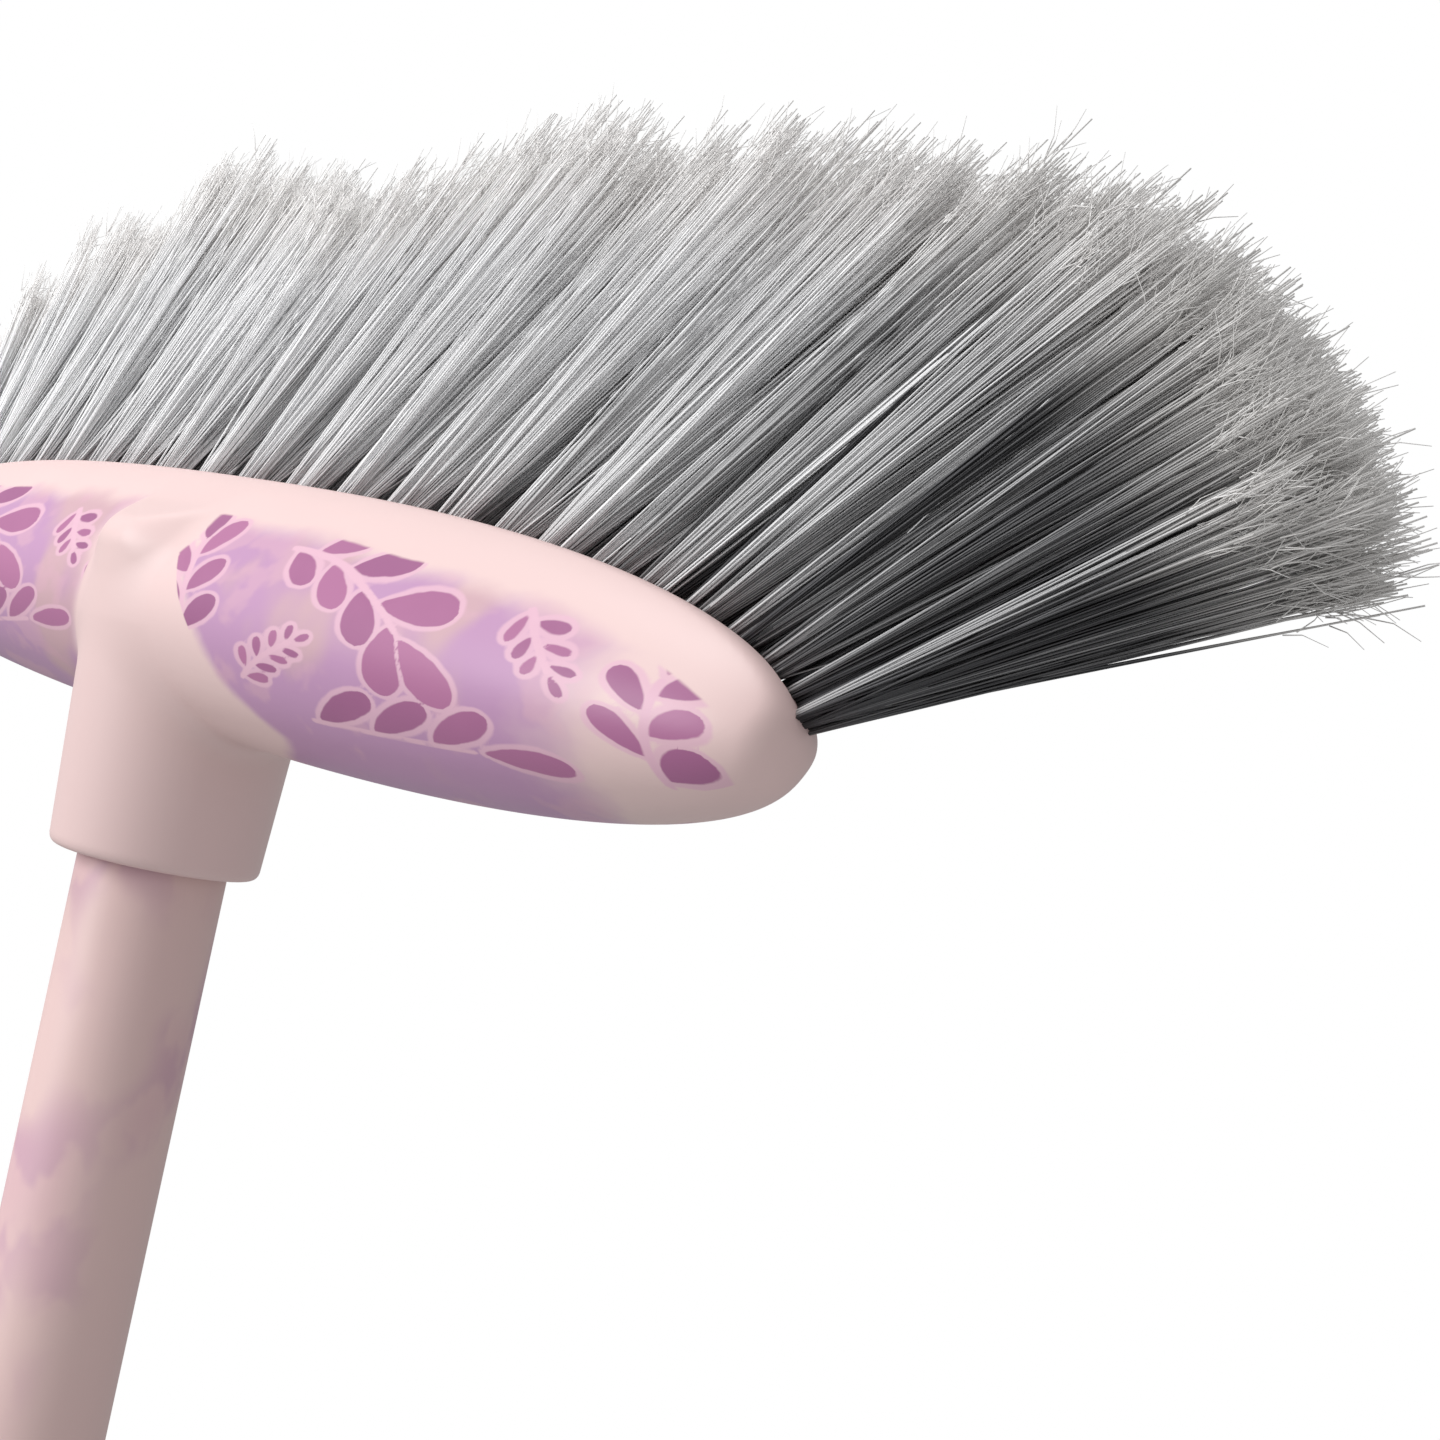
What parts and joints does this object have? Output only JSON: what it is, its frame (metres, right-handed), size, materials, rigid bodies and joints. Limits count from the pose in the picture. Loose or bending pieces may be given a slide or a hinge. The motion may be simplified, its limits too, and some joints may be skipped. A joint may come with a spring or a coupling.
{
  "type": "decorative broom",
  "caption": "Household broom with a spindle-shaped printed head, soft fanned bristles leaning back, and a slim screw-in handle with a hanging hole in its end cap.",
  "frame": {"origin": "centre of the flat end of the handle's cap", "axes": "+Z along the handle towards the bristles, X along the head, -Y the printed front of the head; the bristles lean back towards +Y"},
  "size_m": [0.3774, 0.0824, 1.2422],
  "materials": {
    "cover": "satin pale pink moulding with a printed leaf pattern on a lilac ground",
    "block": "plain pale pink moulding",
    "bristles": "soft grey filament with pale flagged tips",
    "ferrule": "plain grey moulding",
    "tube": "thin-walled steel tube",
    "film": "satin pink film with soft lilac clouds",
    "cap": "plain pale pink moulding"
  },
  "bodies": {
    "head": {"head_cover": "cover", "tuft_block": "block", "tuft_row_1": "bristles", "tuft_row_2": "bristles", "tuft_row_3": "bristles", "tuft_row_4": "bristles"},
    "tube": {"handle_tube": "tube"},
    "handle": {"thread_ferrule": "ferrule", "handle_film": "film", "end_cap": "cap"}
  },
  "joints": [
    {"name": "handle_draw", "type": "slide", "parent": "head", "child": "tube", "axis": [0, 0, -1], "range_m": [0, 0.016]},
    {"name": "handle_unscrew", "type": "hinge", "parent": "tube", "child": "handle", "pos_m": [0, 0, 0.6], "axis": [0, 0, -1], "range_deg": [0, 1440]}
  ],
  "couplings": [
    {"joint": "handle_unscrew", "follows": "handle_draw", "rad_per_m": 1570.8}
  ]
}
